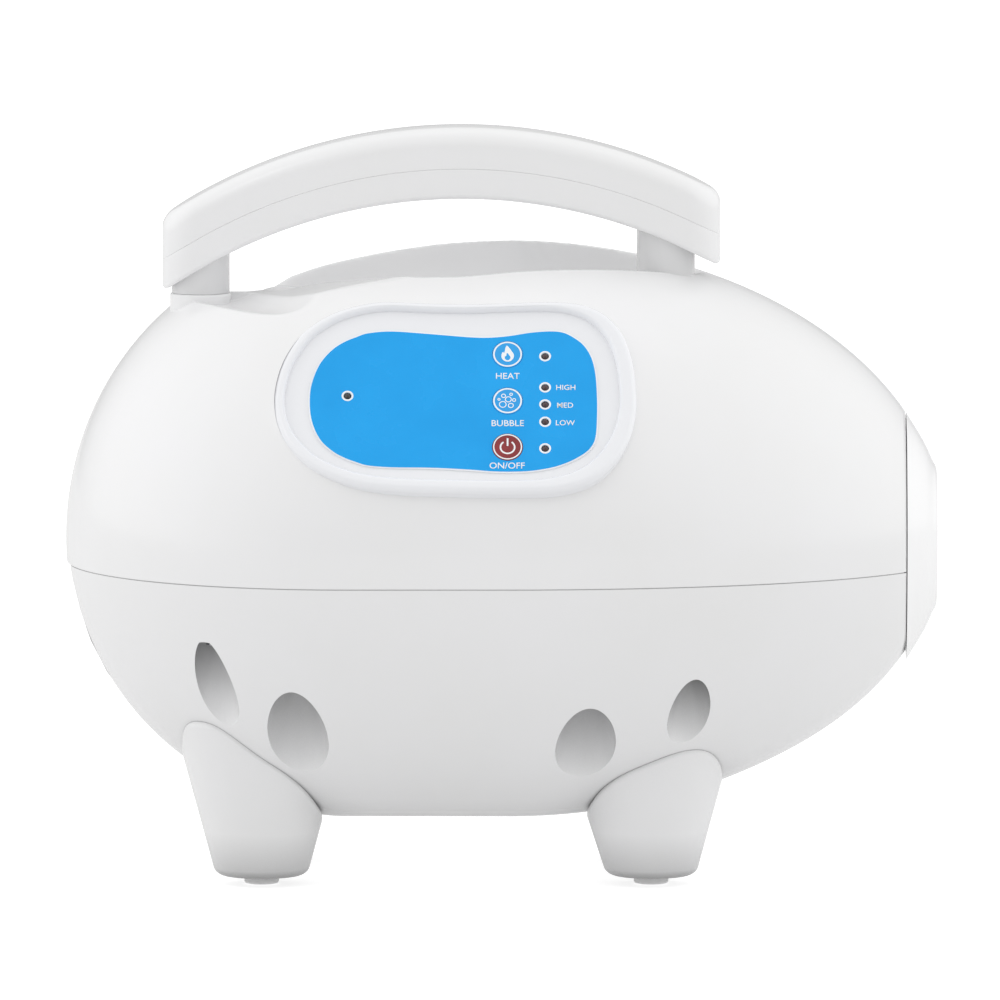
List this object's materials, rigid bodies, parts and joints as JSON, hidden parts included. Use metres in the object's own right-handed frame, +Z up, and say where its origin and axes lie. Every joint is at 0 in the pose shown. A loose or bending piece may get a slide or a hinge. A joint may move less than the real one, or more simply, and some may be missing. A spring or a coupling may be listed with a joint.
{
  "type": "bubble bath air blower",
  "caption": "Egg-shaped air blower and heater unit for a bubble foot bath, with an arched carry handle, a tilted key panel, cone legs and a round hose socket in the nose.",
  "frame": {"origin": "on the floor plane, under the middle of the housing", "axes": "+X along the long axis of the egg towards the hose socket, -Y towards the control panel, +Z up"},
  "size_m": [0.3484, 0.2381, 0.3005],
  "materials": {
    "shell_white": "glossy moulded",
    "shell_grey_white": "glossy moulded",
    "ring_white": "glossy moulded",
    "grip_white": "glossy moulded",
    "bezel_white": "satin moulded",
    "label_blue": "printed film",
    "key_blue": "printed key",
    "key_red": "printed key",
    "black_plastic": "moulded",
    "ir_black": "smooth",
    "led_red": "tinted",
    "board_green": "coated board",
    "parts_dark": "moulded",
    "lead_grey": "sleeve",
    "lead_red": "sleeve",
    "rubber_black": "soft",
    "rubber_grey": "soft",
    "foam_black": "open foam",
    "screw_steel": "zinc plated",
    "steel": "pressed sheet",
    "laminated_steel": "laminated",
    "aluminium": "formed sheet",
    "copper": "enamelled copper wire",
    "brass": "stamped",
    "carbon": "pressed carbon",
    "mica": "mica sheet",
    "heat_wire": "resistance wire",
    "duct_white": "moulded",
    "spring_steel": "wire",
    "valve_grey": "moulded",
    "frame_grey": "moulded"
  },
  "bodies": {
    "housing": {"upper_shell": "shell_white", "lower_shell": "shell_grey_white", "outlet_ring": "ring_white", "hose_seal": "rubber_black", "legs": "shell_grey_white", "leg_pads": "rubber_grey", "leg_screws": "screw_steel", "shell_screws": "screw_steel", "grip_upper": "grip_white", "grip_lower": "grip_white", "post_left": "shell_grey_white", "post_right": "shell_grey_white", "handle_screws": "screw_steel", "panel_bezel": "bezel_white", "panel_label": "label_blue", "control_board": "board_green", "tact_switches": "black_plastic", "indicator_leds": "led_red", "ir_window": "ir_black", "panel_cable": "lead_grey", "power_board": "board_green", "power_parts": "parts_dark", "mains_inlet": "black_plastic", "mains_leads": "lead_grey", "motor_leads": "lead_red", "heater_leads": "lead_grey", "filter_frame": "frame_grey", "filter_foam": "foam_black", "fan_drum": "steel", "stage_plate": "steel", "motor_can": "steel", "stator_core": "laminated_steel", "field_coils": "copper", "bearing_front": "steel", "bearing_rear": "steel", "brush_holders": "brass", "carbon_brushes": "carbon", "motor_shroud": "duct_white", "rubber_rings": "rubber_black", "motor_cradle": "duct_white", "heater_tube": "steel", "heater_board": "mica", "heater_coil": "heat_wire", "thermal_cutout": "black_plastic", "valve_body": "duct_white", "valve_spring": "spring_steel"},
    "rotor": {"motor_shaft": "steel", "armature": "laminated_steel", "commutator": "copper", "impeller_front": "aluminium", "impeller_rear": "aluminium"},
    "heat_key_body": {"heat_key": "key_blue"},
    "bubble_key_body": {"bubble_key": "key_blue"},
    "power_key_body": {"power_key": "key_red"},
    "valve": {"valve_disc": "valve_grey"},
    "tail_cover": {"intake_cover": "shell_grey_white"}
  },
  "joints": [
    {"name": "rotor_spin", "type": "hinge", "parent": "housing", "child": "rotor", "pos_m": [0, 0, 0.1347], "axis": [1, 0, 0], "continuous": true},
    {"name": "heat_press", "type": "slide", "parent": "housing", "child": "heat_key_body", "axis": [0, 0.8192, -0.5736], "range_m": [0, 0.0005]},
    {"name": "bubble_press", "type": "slide", "parent": "housing", "child": "bubble_key_body", "axis": [0, 0.8192, -0.5736], "range_m": [0, 0.0005]},
    {"name": "power_press", "type": "slide", "parent": "housing", "child": "power_key_body", "axis": [0, 0.8192, -0.5736], "range_m": [0, 0.0005]},
    {"name": "valve_lift", "type": "slide", "parent": "housing", "child": "valve", "axis": [1, 0, 0], "range_m": [0, 0.0045], "stiffness_N_per_m": 60, "springref_m": -0.002, "deforming": ["valve_spring"]},
    {"name": "cover_pull", "type": "slide", "parent": "housing", "child": "tail_cover", "axis": [-0.9171, 0, -0.3987], "range_m": [0, 0.04]}
  ]
}
